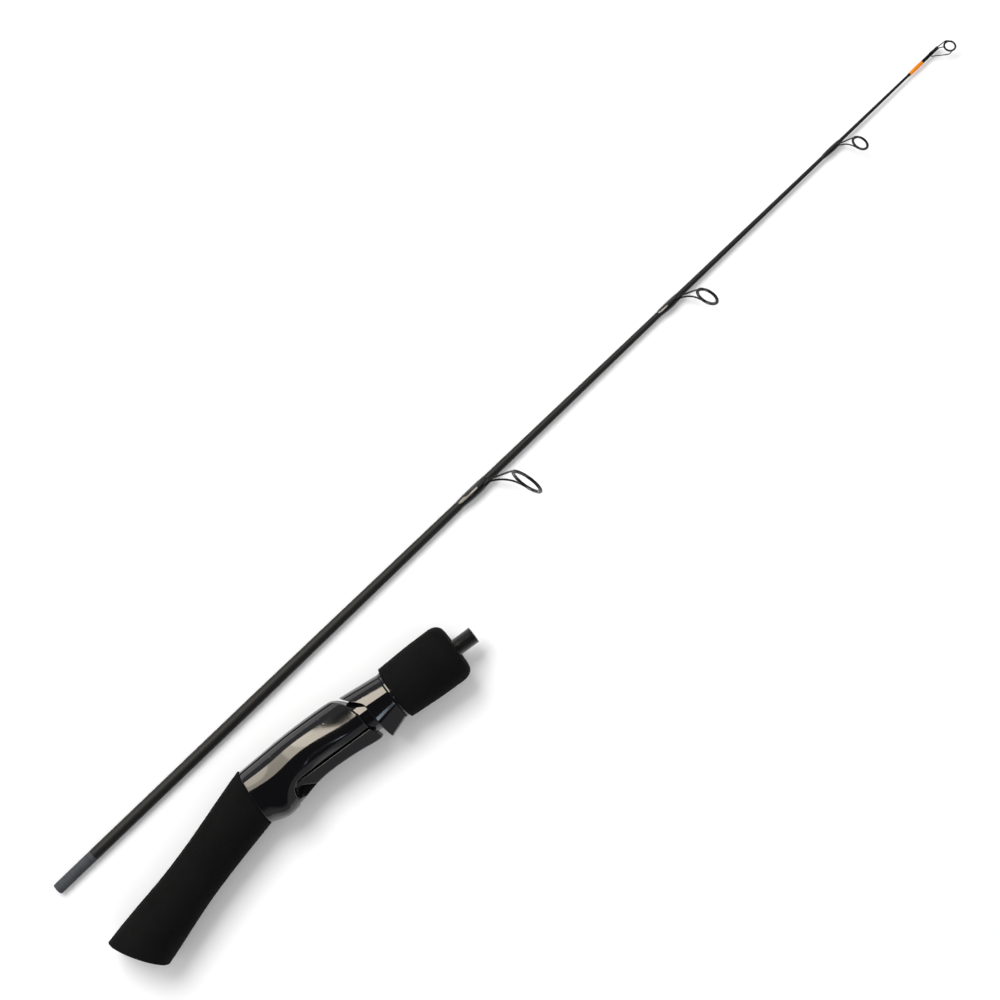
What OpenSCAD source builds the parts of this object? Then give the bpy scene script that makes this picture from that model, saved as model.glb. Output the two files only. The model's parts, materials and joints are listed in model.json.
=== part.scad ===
// Ice fishing rod, taken down: the tip section lies beside its handle.
// Lengths are in millimetres. +X runs along the blank to its tip, +Z is up, and the
// reel side of the handle faces -Y. The origin is the middle of the footprint, on the table.

/* [Blank] */
// Diameter of the parallel butt of the blank
blank_d = 5.5; // [5.3:0.05:5.5]
// Length of the parallel butt before the taper starts
parallel_len = 125; // [100:5:150]
// Length of the blank
blank_len = 558; // [556:1:560]
// Diameter of the blank at its tip
tip_d = 1; // [0.8:0.1:1.1]

/* [Guides] */
// Distance of each ring's centre from the butt
ring_x = [284.8, 402.1, 501]; // [280:0.1:505]
// Height of each ring's centre above the axis of the blank
ring_h = [23.7, 16.6, 12.5]; // [12:0.1:25]
// Outer radius of each guide, over its wire
ring_r = [8.4, 5.8, 4.25]; // [4:0.05:9]
// Diameter of each guide's wire
wire_d = [1, 0.85, 0.65]; // [0.6:0.05:1.1]
// Forward lean of each ring, in degrees
ring_lean = [18.5, 27.5, 29.5]; // [10:0.5:35]
// Turn of each ring about its own stem, in degrees
ring_turn = [-0.5, -3, -9]; // [-10:0.5:10]
// Start of each guide's wrap, from the butt
wrap_x = [255, 381.8, 486]; // [250:0.1:490]
// Length of each guide's wrap
wrap_len = [18, 12.7, 10.9]; // [10:0.1:20]
// Roll of the guides from straight up towards the reel side, in degrees
guide_roll = 35; // [0:1:60]

/* [Tip top] */
// Distance of the tip ring's centre from the butt
tip_ring_x = 562.3; // [561:0.1:563]
// Height of the tip ring's centre above the axis of the blank
tip_ring_h = 5.9; // [5:0.1:6.5]
// Outer radius of the tip ring
tip_ring_r = 3; // [2.7:0.05:3.1]
// Forward lean of the tip ring, in degrees
tip_lean = 47; // [40:1:50]
// Length of the orange mark
mark_len = 7.8; // [6:0.1:9]

/* [Handle] */
// Length of the socket tube that stands out of the fore grip
tube_out = 10.1; // [9:0.1:14]
// Outer diameter of the socket tube
tube_d = 8; // [7.8:0.1:8.2]
// Depth of the socket for the blank
socket_depth = 60; // [40:1:70]
// Diameter of the barrel that the hood slides on
barrel_d = 18.8; // [18.4:0.1:19]
// Length of the fore grip
fore_len = 34.6; // [33:0.1:35]
// Largest diameter of the fore grip
fore_d = 28.2; // [27:0.1:28.4]
// Length of the rear grip along its axis
rear_len = 89; // [80:1:90]
// Bend of the rear grip from the seat, in degrees
rear_bend = 17; // [10:1:20]
// Width of the saddle that carries the reel foot
saddle_w = 18; // [16:0.5:19]

/* [Layout] */
// Distance of the socket's mouth ahead of the blank's butt
handle_x = 219.5; // [200:0.5:240]
// Distance between the axes of blank and socket at the mouth
handle_gap = 47.2; // [46:0.1:60]
// Turn of the handle from the line of the blank, in degrees
handle_turn = 7.24; // [0:0.02:8]

/* [Hidden] */
$fn = 48;
slack = 0.02;                        // overrun of a cutting tool
fit = 0.06;                          // radial clearance of a running fit

// Blank
blank_r = blank_d / 2;
tip_r = tip_d / 2;
bore_r = 1.7;                        // hollow of the blank at the butt
bore_end_r = 0.4;
bore_len = 430;

// Wraps
thread_t = 0.16;                     // thickness of the thread over blank or foot
coat_t = 0.34;                       // thickness of thread and epoxy together
coat_over = 1;                       // coat beyond the thread at each end
foot_in = 2;                         // foot starts this far inside the thread
leg_x = [274, 394.9, 495.3];         // where the legs rise from the foot

// Tip top
tip_tube_r = 0.78;
tip_tube_len = 10;
tip_tube_x = blank_len + 1.2 - tip_tube_len;
tip_wire_d = 0.5;
tip_turn = -15;                      // turn of the tip ring about its stem
mark_x = tip_tube_x - mark_len;
trim_len = 1.4;

// Handle, in its own frame: the mouth of the socket at the origin, +X out of the mouth
tube_r = tube_d / 2;
socket_r = blank_r + 0.05;
tube_back = -101;                    // rear end of the tube
barrel_r = barrel_d / 2;
barrel_front = -22;
barrel_core_r = 6.5;                 // bore of the seat around the bushes
front_bush_len = 22;
rear_bush_len = 21;
thread_crest = 0.5;                  // depth of the thread on the barrel
thread_pitch = 2;
thread_back = -42;
fore_front = -tube_out;
fore_back = fore_front - fore_len;
fore_r = fore_d / 2;
nut_r = 11;
nut_len = 20.5;
face_gap = 0.2;                      // gap between the nut and the hood ring
hood_front = -46.2;
ring_t = fore_back - face_gap - hood_front;
seat_back = -123.7;                  // joint of seat and rear grip
seat_tilt = 2.8;                     // lean of that joint
core_r = 5;
core_in = 12;                        // length of the core inside the seat
axis_z = 14.3;                       // height of the handle's axis above the table
hood_wall = 1.8;                     // wall of the moving hood outside its pocket
hood_pocket_w = 9.2;
foot_pocket_w = 14;                  // width of the fixed hood's pocket for the reel foot
key_w = 3;                           // keyway that stops the moving hood from turning
grip_core_end = rear_len - 9;

// Outline of the seat seen from above: palm side, reel side and half thickness
palm_y = [[-126, 13.0], [-109, 14.1], [-98, 14.8], [-88, 15.0], [-73, 14.7], [-58, 13.6]];
reel_y = [[-126, 13.2], [-120, 15.4], [-115, 16.4], [-111, 15.8], [-105, 14.0],
          [-96, 11.7], [-81, 11.0], [-70, 11.8], [-64, 12.5], [-58, 10.8]];
seat_z = [[-126, 12.5], [-110, 13.4], [-90, 13.4], [-73, 12.9], [-58, 11.6]];
// Radius of the rear grip along its axis, measured back from the joint with the seat
rear_r = [[-8, 13.3], [9, 12.95], [23, 12.4], [41, 12.0], [58, 12.4], [70, 13.2],
          [82, 13.9], [94, 14.3]];

// Layout
tip_end = tip_ring_x + tip_ring_r * cos(tip_lean) + 0.2;
blank_x = -tip_end / 2;              // butt of the blank
blank_y = 28.4;                      // line of the blank, from the middle of the footprint

// ---- helpers ----

// Smooth curve through the points [x, y] of p
function seg(p, x, i = 0) = (i >= len(p) - 2 || x < p[i + 1][0]) ? i : seg(p, x, i + 1);
function slope(p, i) = let (a = max(i - 1, 0), b = min(i + 1, len(p) - 1))
    (p[b][1] - p[a][1]) / (p[b][0] - p[a][0]);
function smooth(p, x) = let (i = seg(p, x), h = p[i + 1][0] - p[i][0],
    t = min(1, max(0, (x - p[i][0]) / h)), u = 1 - t)
    p[i][1] * (1 + 2 * t) * u * u + slope(p, i) * h * t * u * u
    + p[i + 1][1] * t * t * (3 - 2 * t) - slope(p, i + 1) * h * t * t * u;

// Radius of the blank at x from the butt
function blank_at(x) = x < parallel_len ? blank_r
    : blank_r + (tip_r - blank_r) * (x - parallel_len) / (blank_len - parallel_len);

function unit(v) = v / norm(v);
function bezier(a, b, c, d, t) = let (u = 1 - t)
    u * u * u * a + 3 * u * u * t * b + 3 * u * t * t * c + t * t * t * d;
function curve(a, b, c, d, n = 12) = [for (i = [0 : n]) bezier(a, b, c, d, i / n)];

// Turns children built about Z to lie along X
module along_x() {
    rotate([0, 90, 0]) children();
}

// Solid through a list of rings of points
module skin(rings) {
    n = len(rings[0]);
    m = len(rings);
    points = [for (ring = rings) each ring];
    sides = [for (i = [0 : m - 2]) for (j = [0 : n - 1])
        [i * n + j, (i + 1) * n + j, (i + 1) * n + (j + 1) % n, i * n + (j + 1) % n]];
    caps = [[for (j = [0 : n - 1]) j], [for (j = [n - 1 : -1 : 0]) (m - 1) * n + j]];
    polyhedron(points, concat(sides, caps));
}

// Round wire along a list of points
module wire(path, r, sides = 10) {
    last = len(path) - 1;
    skin([for (i = [0 : last])
        let (t = unit(path[min(i + 1, last)] - path[max(i - 1, 0)]),
             a = unit(cross([0, 1, 0], t)), b = cross(t, a))
        [for (k = [0 : sides - 1]) path[i] + r * (cos(360 * k / sides) * a + sin(360 * k / sides) * b)]]);
}

// Round body along X with a radius that bulges between its ends
module spindle(x0, x1, r0, r1, bulge, steps = 10) {
    along_x() rotate_extrude()
        polygon(concat([[0, x0]], [for (i = [0 : steps]) let (t = i / steps)
            [r0 + (r1 - r0) * t + bulge * sin(180 * t), x0 + (x1 - x0) * t]], [[0, x1]]));
}

// ---- tip section: x from the butt of the blank, z towards the guides ----

module blank_form(grow = 0) {
    along_x() rotate_extrude()
        polygon([[0, 0], [blank_r + grow, 0], [blank_r + grow, parallel_len],
                 [tip_r + grow, blank_len], [0, blank_len]]);
}

module blank() {
    color("#2b2b2d") difference() {
        blank_form();
        along_x() translate([0, 0, -slack]) cylinder(h = bore_len, r1 = bore_r, r2 = bore_end_r);
    }
}

function ring_axis_r(i) = ring_r[i] - wire_d[i] / 2;
function spin(v, a) = [v[0] * cos(a) - v[1] * sin(a), v[0] * sin(a) + v[1] * cos(a), v[2]];

// Point on a leaning ring, at an angle from its lowest point
function on_ring(x, h, r, lean, turn, a) = [x, 0, h]
    + spin([-r * cos(a) * sin(lean), r * sin(a), -r * cos(a) * cos(lean)], turn);
function along_ring(lean, turn, a) =
    spin([sin(a) * sin(lean), cos(a), sin(a) * cos(lean)], turn);

module at_ring(x, h, lean, turn) {
    translate([x, 0, h]) rotate([0, 0, turn]) rotate([0, 90 + lean, 0]) children();
}

module foot(i) {
    w = wire_d[i];
    x0 = wrap_x[i] + foot_in;
    x1 = leg_x[i] + w * 0.4;
    difference() {
        rotate([90, 0, 0]) linear_extrude(height = 1.9 * w, center = true)
            polygon([[x0, 0], [x0, blank_at(x0) + 0.25], [x1 - 3 * w, blank_at(x1) + w],
                     [x1, blank_at(x1) + w], [x1, 0]]);
        blank_form();
    }
}

module leg(i, side) {
    w = wire_d[i];
    attach = 60;
    start = [leg_x[i], side * w * 0.7, blank_at(leg_x[i]) + w * 1.1];
    end = on_ring(ring_x[i], ring_h[i], ring_axis_r(i), ring_lean[i], ring_turn[i], side * attach);
    rise = [0.25, side * 0.03, 0.24] * ring_h[i];
    join = [0.063, side * 0.137, 0.285] * ring_h[i];
    wire(concat([start - [1, 0, 0.6] * w], curve(start, start + rise, end - join, end)), w * 0.49);
}

module guide_frame(i) {
    color("#1c1c1e") {
        foot(i);
        leg(i, -1);
        leg(i, 1);
        at_ring(ring_x[i], ring_h[i], ring_lean[i], ring_turn[i])
            rotate_extrude() translate([ring_axis_r(i), 0]) circle(d = wire_d[i], $fn = 20);
    }
}

// Hard insert: an oval section that grips the inside of the wire ring
module guide_ring(i) {
    depth = wire_d[i] * 0.9;
    inner = ring_r[i] - wire_d[i] * 0.95 - depth / 2;
    color("#26262b") at_ring(ring_x[i], ring_h[i], ring_lean[i], ring_turn[i])
        rotate_extrude() polygon([for (k = [0 : 15])
            [inner + depth / 2 * cos(22.5 * k), 0.75 * wire_d[i] * sin(22.5 * k)]]);
}

// Thread or coat around blank and foot, t thick
module wrap_form(i, t, over) {
    w = wire_d[i];
    x0 = wrap_x[i] + coat_over - over;
    x1 = wrap_x[i] + wrap_len[i] - coat_over + over;
    r0 = blank_at(x0);
    r1 = blank_at(x1);
    spindle(x0, x1, r0 + t * 0.5, r1 + t * 0.5, t * 0.5);
    translate([0, 0, r1 * 0.45]) spindle(x0, x1, r0 * 0.6, r1 * 0.6, r1 * 0.12 + w * 0.8 + t);
}

module wrap_thread(i) {
    color("#101012") difference() {
        wrap_form(i, thread_t, 0);
        blank_form();
        foot(i);
        leg(i, -1);
        leg(i, 1);
    }
}

module wrap_coat(i) {
    color("#0a0a0c") difference() {
        wrap_form(i, coat_t, coat_over);
        wrap_form(i, thread_t, 0);
        blank_form();
        foot(i);
        leg(i, -1);
        leg(i, 1);
    }
}

module tip_top_tube() {
    color("#1c1c1e") difference() {
        translate([tip_tube_x, 0, 0]) along_x() cylinder(h = tip_tube_len, r = tip_tube_r);
        blank_form();
    }
}

module tip_leg(side) {
    r = tip_wire_d / 2;
    start = [tip_tube_x + 4.9, side * (tip_tube_r + r * 0.8), 0.2];
    end = on_ring(tip_ring_x, tip_ring_h, tip_ring_r - r, tip_lean, tip_turn, side * 92);
    bow = end + [-1.7, side * 0.7, -0.8];
    wire(concat(curve(start, start + [1.5, side * 0.55, 1], bow - [1.8, side * 0.55, 1.2], bow, 8),
                [end]), r, 8);
}

module tip_top_frame() {
    color("#1c1c1e") {
        tip_leg(-1);
        tip_leg(1);
        back = on_ring(tip_ring_x, tip_ring_h, tip_ring_r - tip_wire_d / 2, tip_lean, tip_turn, 0);
        start = [tip_tube_x + tip_tube_len - 0.6, 0, tip_tube_r + 0.1];
        wire(curve(start, start + [1, 0, 0.2], back - [0.6, 0, 1.2], back, 8), tip_wire_d / 2, 8);
        at_ring(tip_ring_x, tip_ring_h, tip_lean, tip_turn) rotate_extrude()
            translate([tip_ring_r - tip_wire_d / 2, 0]) circle(d = tip_wire_d, $fn = 20);
    }
}

module tip_top_ring() {
    depth = 0.45;
    inner = tip_ring_r - tip_wire_d - depth / 2 + 0.03;
    color("#26262b") at_ring(tip_ring_x, tip_ring_h, tip_lean, tip_turn)
        rotate_extrude() polygon([for (k = [0 : 15])
            [inner + depth / 2 * cos(22.5 * k), 0.4 * sin(22.5 * k)]]);
}

module tip_mark_wrap() {
    color("#f08a12") difference() {
        spindle(mark_x, mark_x + mark_len, blank_at(mark_x) + 0.18, tip_tube_r, 0.14);
        blank_form();
    }
}

module tip_trim_wrap() {
    color("#101012") difference() {
        spindle(mark_x - trim_len, mark_x, blank_at(mark_x) + 0.04, blank_at(mark_x) + 0.18, 0.04);
        blank_form();
    }
}

// ---- handle: mouth of the socket at the origin, +X out of the mouth, reel side -Y ----

// Round rod along X from x0 to x1
module rod(x0, x1, r) {
    translate([x0, 0, 0]) along_x() cylinder(h = x1 - x0, r = r);
}

// Carries children from the rear grip's own axis to the handle: x runs back from the seat
module on_grip_axis() {
    translate([seat_back, 0, 0]) rotate([0, 0, rear_bend]) mirror([1, 0, 0]) children();
}

module socket_tube() {
    color("#141416") difference() {
        rod(tube_back, 0, tube_r);
        rod(-socket_depth, slack, socket_r);
        rod(tube_back - slack, -socket_depth - 1.5, tube_r - 1);
    }
}

module tube_bush(x0, x1) {
    color("#8c8c86") difference() {
        rod(x0, x1, barrel_core_r);
        rod(x0 - slack, x1 + slack, tube_r);
    }
}

module tube_bush_front() {
    tube_bush(barrel_front - front_bush_len, barrel_front);
}

module tube_bush_rear() {
    tube_bush(tube_back, tube_back + rear_bush_len);
}

function egg(x, top, low, z) = [for (k = [0 : 39]) let (a = 9 * k, c = cos(a), s = sin(a))
    [x, (c > 0 ? top : low) * sign(c) * pow(abs(c), 0.9), z * sign(s) * pow(abs(s), 0.9)]];

module seat_form() {
    front = -58;
    steps = 24;
    skin([for (i = [0 : steps]) let (x = seat_back - 1.5 + (front - seat_back + 1.5) * i / steps)
        egg(x, smooth(palm_y, x), smooth(reel_y, x), smooth(seat_z, x))]);
}

// Plan of everything ahead of the seat's front edge
module seat_front_cut() {
    linear_extrude(height = 40, center = true)
        polygon([[-50, 20], [-74, 20], [-70.2, 13.8], [-67.2, 11.9], [-64.4, 7.6],
                 [-63.2, 3.6], [-62.7, -2], [-62, -7], [-59.6, -12], [-58, -20], [-50, -20]]);
}

// Plan of the recess beside the saddle, ending in the lip of the fixed hood
module recess_plan(grow) {
    polygon([[-50, -4.8 + grow], [-102, -4.8 + grow], [-106.5 - grow * 0.4, -5.6 + grow * 0.7],
             [-109.6 - grow * 0.7, -8.6], [-111.4 - grow, -13], [-111.8 - grow, -20], [-50, -20]]);
}

// Pocket of the fixed hood, open to the front and running out along the saddle
module foot_pocket() {
    linear_extrude(height = foot_pocket_w, center = true)
        polygon([[-113, -15], [-113, -9.6], [-105.5, -9.75], [-88, -11.05], [-88, -20],
                 [-111.3, -20], [-111.3, -15]]);
}

module seat_body() {
    color("#0c0c0e") difference() {
        union() {
            difference() {
                seat_form();
                seat_front_cut();
                for (side = [0, 1]) mirror([0, 0, side]) {
                    translate([0, 0, saddle_w / 2]) linear_extrude(height = 9) recess_plan(0);
                    translate([0, 0, saddle_w / 2 + 2.2]) linear_extrude(height = 9) recess_plan(2.4);
                }
            }
            rod(-70, thread_back, barrel_r);
            rod(thread_back - slack, barrel_front, barrel_r - thread_crest);
            for (x = [thread_back + 1 : thread_pitch : barrel_front - 1])
                rod(x, x + thread_pitch / 2, barrel_r);
        }
        rod(tube_back - 1, barrel_front + slack, barrel_core_r);
        on_grip_axis() rod(-core_in, 6, core_r);
        foot_pocket();
        translate([-62, barrel_r - 1, -key_w / 2]) cube([45, 4, key_w]);
        // slanted joint with the rear grip
        translate([seat_back, 0, 0]) rotate([0, 0, -seat_tilt])
            translate([-20, -20, -20]) cube([20, 40, 40]);
    }
}

function hood_reel(x) = 11.9 + max(0, hood_front - 1 - x) * 0.36;
module hood_form() {
    back = -67.5;
    steps = 12;
    skin([for (i = [0 : steps]) let (x = back + (hood_front - back) * i / steps)
        egg(x, 11.5 + (hood_front - x) * 0.09, hood_reel(x), 11.9 + (hood_front - x) * 0.03)]);
}

// Plan of everything behind the hood's rear rim
module hood_rear_cut() {
    linear_extrude(height = 40, center = true)
        polygon([[-80, 20], [-68.5, 20], [-66.7, 13.6], [-62.8, 9], [-59.6, 5.6],
                 [-58.4, 0.5], [-57.8, -5.6], [-57.4, -10.7], [-56.2, -24], [-80, -24]]);
}

module moving_hood() {
    color("#0c0c0e") difference() {
        union() {
            difference() {
                hood_form();
                hood_rear_cut();
                rod(-70, hood_front + 1, barrel_r + fit);
                // pocket over the front of the reel foot
                linear_extrude(height = hood_pocket_w, center = true)
                    polygon([[-70, -9], [-70, hood_wall - hood_reel(-70)],
                             [-49, hood_wall - hood_reel(-49)], [-49, -9]]);
            }
            // key in the barrel's keyway
            translate([-56, barrel_r - 0.7, 0.3 - key_w / 2]) cube([9, 1.4, key_w - 0.6]);
        }
        rod(-70, hood_front + 1, barrel_r - 0.8);
    }
}

module hood_ring() {
    color("#1a1a1c") difference() {
        rod(hood_front, hood_front + ring_t, 11.7);
        rod(hood_front - slack, 0, barrel_r + fit);
    }
}

module lock_nut() {
    color("#3a3a3c") difference() {
        rod(fore_back, fore_back + nut_len, nut_r);
        rod(fore_back - slack, 0, barrel_r + fit);
    }
}

module fore_grip() {
    corner = [4.6, 6];                     // depth and length of the rounded front corner
    rear_grip_r = 13.1;
    color("#1b1b1c") difference() {
        along_x() rotate_extrude() polygon(concat(
            [[0, fore_back], [rear_grip_r, fore_back], [rear_grip_r + 0.5, fore_back + 8],
             [fore_r, fore_back + 17.5]],
            [for (a = [0 : 15 : 90])
                [fore_r - corner[0] * (1 - cos(a)), fore_front - corner[1] * (1 - sin(a))]],
            [[0, fore_front]]));
        rod(fore_back - slack, fore_back + nut_len, nut_r);
        rod(fore_back, fore_front - 6.5, barrel_r + 0.5);
        rod(fore_back, 0, tube_r + 0.3);
    }
}

module grip_core() {
    color("#55555a") on_grip_axis() rod(-core_in, grip_core_end, core_r);
}

module rear_grip() {
    butt_slant = 16.7;
    steps = 14;
    color("#1b1b1c") difference() {
        on_grip_axis() along_x() rotate_extrude()
            polygon(concat([[0, -8]], [for (i = [0 : steps]) let (x = -8 + (rear_len + 13) * i / steps)
                [smooth(rear_r, x), x]], [[0, rear_len + 5]]));
        on_grip_axis() rod(-core_in, grip_core_end, core_r);
        translate([seat_back, 0, 0]) rotate([0, 0, -seat_tilt])
            translate([0, -20, -20]) cube([20, 40, 40]);
        on_grip_axis() translate([rear_len, 0, 0]) rotate([0, 0, -butt_slant])
            translate([0, -20, -20]) cube([20, 40, 40]);
    }
}

// ---- where the two sections lie ----

module tip_section() {
    translate([blank_x, blank_y, blank_r]) rotate([guide_roll, 0, 0]) children();
}

module handle_section() {
    translate([blank_x + handle_x, blank_y - handle_gap, axis_z])
        rotate([0, 0, -handle_turn]) children();
}

tip_section() blank();
tip_section() guide_frame(0);  // guide_frame_1
tip_section() guide_frame(1);  // guide_frame_2
tip_section() guide_frame(2);  // guide_frame_3
tip_section() guide_ring(0);  // guide_ring_1
tip_section() guide_ring(1);  // guide_ring_2
tip_section() guide_ring(2);  // guide_ring_3
tip_section() wrap_thread(0);  // wrap_thread_1
tip_section() wrap_thread(1);  // wrap_thread_2
tip_section() wrap_thread(2);  // wrap_thread_3
tip_section() wrap_coat(0);  // wrap_coat_1
tip_section() wrap_coat(1);  // wrap_coat_2
tip_section() wrap_coat(2);  // wrap_coat_3
tip_section() tip_top_tube();
tip_section() tip_top_frame();
tip_section() tip_top_ring();
tip_section() tip_mark_wrap();
tip_section() tip_trim_wrap();
handle_section() socket_tube();
handle_section() tube_bush_front();
handle_section() tube_bush_rear();
handle_section() seat_body();
handle_section() moving_hood();
handle_section() hood_ring();
handle_section() lock_nut();
handle_section() fore_grip();
handle_section() grip_core();
handle_section() rear_grip();
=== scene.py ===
"""Looks of the ice fishing rod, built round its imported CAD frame.

Shapes are worked out in millimetres in two frames of their own, the handle's and the tip section's,
and placed in metres in the frame of the CAD model.
"""

import json
import math

import bmesh
import bpy
import numpy as np
from mathutils import Matrix, Vector, noise


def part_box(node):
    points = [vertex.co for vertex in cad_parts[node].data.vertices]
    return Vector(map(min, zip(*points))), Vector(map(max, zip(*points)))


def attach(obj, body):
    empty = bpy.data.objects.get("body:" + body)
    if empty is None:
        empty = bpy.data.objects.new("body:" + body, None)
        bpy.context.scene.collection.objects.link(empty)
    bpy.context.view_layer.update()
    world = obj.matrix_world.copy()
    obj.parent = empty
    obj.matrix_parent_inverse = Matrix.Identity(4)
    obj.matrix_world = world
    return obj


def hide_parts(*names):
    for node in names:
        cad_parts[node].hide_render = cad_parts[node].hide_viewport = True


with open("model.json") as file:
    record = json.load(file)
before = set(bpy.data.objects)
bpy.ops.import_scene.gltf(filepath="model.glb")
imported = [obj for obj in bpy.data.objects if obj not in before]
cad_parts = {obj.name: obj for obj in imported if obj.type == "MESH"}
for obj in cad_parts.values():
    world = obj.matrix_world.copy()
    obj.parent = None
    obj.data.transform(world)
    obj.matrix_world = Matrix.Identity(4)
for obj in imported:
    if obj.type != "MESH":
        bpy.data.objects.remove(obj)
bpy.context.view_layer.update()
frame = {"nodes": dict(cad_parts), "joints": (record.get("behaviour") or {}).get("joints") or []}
MM = 0.001

# ---------------------------------------------------------------- frames


def placing(origin, along, up):
    """Matrix from millimetres in a frame with X along and Z near up to metres in the row frame."""
    x = Vector(along).normalized()
    y = Vector(up).cross(x).normalized()
    turn = Matrix((x, y, x.cross(y))).transposed().to_4x4()
    return Matrix.Translation(origin) @ turn @ Matrix.Scale(MM, 4)


def middle(node):
    """Centre of a CAD node's box, in metres."""
    low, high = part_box(node)
    return (low + high) / 2


nut_joint = next(j for j in frame["joints"] if j["name"] == "nut_turn")
HANDLE = placing(nut_joint["pos_m"], nut_joint["axis"], (0, 0, 1))

blank_low, blank_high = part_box("blank")
butt = Vector((blank_low.x, middle("blank").y, middle("blank").z))
stem = middle("guide_ring_1") - butt
TIP = placing(butt, (1, 0, 0), (0, stem.y, stem.z))


def in_tip(point):
    """A point of the row frame, in millimetres of the tip section's frame."""
    return TIP.inverted() @ point


REAR_BEND = math.radians(17)        # turn of the rear grip's axis from the seat's
SEAT_BACK = -123.7                  # where the two axes meet
GRIP = HANDLE @ Matrix(((-math.cos(REAR_BEND), -math.sin(REAR_BEND), 0, SEAT_BACK),
                        (-math.sin(REAR_BEND), math.cos(REAR_BEND), 0, 0),
                        (0, 0, 1, 0), (0, 0, 0, 1)))

# ---------------------------------------------------------------- curves and outlines


def through(points):
    """Smooth function through the points (x, y), level beyond both ends."""
    x, y = np.array(points, float).T
    h = np.diff(x)
    bend = np.zeros(len(x))
    matrix = np.diag(2 * (h[:-1] + h[1:])) + np.diag(h[1:-1], 1) + np.diag(h[1:-1], -1)
    bend[1:-1] = np.linalg.solve(matrix, 6 * np.diff(np.diff(y) / h))

    def at(t):
        t = np.clip(t, x[0], x[-1])
        i = np.clip(np.searchsorted(x, t) - 1, 0, len(h) - 1)
        a, b = (x[i + 1] - t) / h[i], (t - x[i]) / h[i]
        return (a * y[i] + b * y[i + 1]
                + ((a ** 3 - a) * bend[i] + (b ** 3 - b) * bend[i + 1]) * h[i] ** 2 / 6)
    return at


def rounded(corners, closed=False, steps=6):
    """Outline through corners (x, y, radius), each rounded by an arc of its radius."""
    points, count = [], len(corners)
    for i, (x, y, radius) in enumerate(corners):
        here = np.array((x, y), float)
        if radius == 0 or (not closed and i in (0, count - 1)):
            points.append(here)
            continue
        back = np.array(corners[i - 1][:2], float) - here
        ahead = np.array(corners[(i + 1) % count][:2], float) - here
        back /= np.linalg.norm(back)
        ahead /= np.linalg.norm(ahead)
        half = math.acos(np.clip(back @ ahead, -1, 1)) / 2
        mid = (back + ahead) / np.linalg.norm(back + ahead)
        centre = here + mid * radius / math.sin(half)
        start = here + back * radius / math.tan(half) - centre
        end = here + ahead * radius / math.tan(half) - centre
        sweep = math.pi - 2 * half
        for k in range(steps + 1):
            t = k / steps
            a, b = math.sin((1 - t) * sweep), math.sin(t * sweep)
            points.append(centre + (start * a + end * b) / math.sin(sweep))
    return points


def spaced(points, gap):
    """The same closed outline with points at most gap apart."""
    points = [np.array(p, float) for p in points]
    out = []
    for a, b in zip(points, points[1:] + points[:1]):
        n = max(1, math.ceil(np.linalg.norm(b - a) / gap))
        out += [a + (b - a) * k / n for k in range(n)]
    return out


def bezier(a, b, c, d, count):
    """Points of a cubic from a to d that starts towards b and arrives from c."""
    t = np.linspace(0, 1, count)[:, None]
    u = 1 - t
    return u ** 3 * a + 3 * u * u * t * b + 3 * u * t * t * c + t ** 3 * d


# ---------------------------------------------------------------- meshes

MERGE_DIST = 1e-7                   # metres within which points of a mesh are one


def loft(rings, ends=True):
    """Points and quads through closed rings of equally many points; ends caps the first and last ring."""
    rings = [np.asarray(r, float) for r in rings]
    n, m = len(rings[0]), len(rings)
    points = np.concatenate(rings)
    faces = [(i * n + j, (i + 1) * n + j, (i + 1) * n + (j + 1) % n, i * n + (j + 1) % n)
             for i in range(m - 1) for j in range(n)]
    if ends:
        faces += [tuple(range(n)), tuple(reversed(range((m - 1) * n, m * n)))]
    return points, faces


def revolve(outline, sides, closed=False):
    """Turns the outline (x, radius) about X. A closed outline makes a ring; radius 0 makes a point."""
    a = np.arange(sides) * 2 * math.pi / sides
    rings = [np.stack([np.full(sides, x), r * np.cos(a), r * np.sin(a)], 1) for x, r in outline]
    points, faces = loft(rings, ends=False)
    if closed:
        last = (len(rings) - 1) * sides
        faces += [(last + j, j, (j + 1) % sides, last + (j + 1) % sides) for j in range(sides)]
    return points, faces


def tube(path, radius, sides=20):
    """Round wire along a path, with flat ends."""
    path = np.asarray(path, float)
    along = np.gradient(path, axis=0)
    along /= np.linalg.norm(along, axis=1)[:, None]
    side = np.cross((0, 1, 0), along)
    side /= np.linalg.norm(side, axis=1)[:, None]
    up = np.cross(along, side)
    a = np.arange(sides) * 2 * math.pi / sides
    rings = [p + radius * (np.cos(a)[:, None] * s + np.sin(a)[:, None] * u)
             for p, s, u in zip(path, side, up)]
    return loft(rings)


def joined(*parts):
    """Several (points, faces) as one."""
    points, faces, base = [], [], 0
    for p, f in parts:
        points.append(np.asarray(p))
        faces += [tuple(base + i for i in face) for face in f]
        base += len(p)
    return np.concatenate(points), faces


def moved(part, matrix):
    """The same part with its points placed by the matrix."""
    points, faces = part
    m = np.array(matrix)
    return points @ m[:3, :3].T + m[:3, 3], faces


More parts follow.
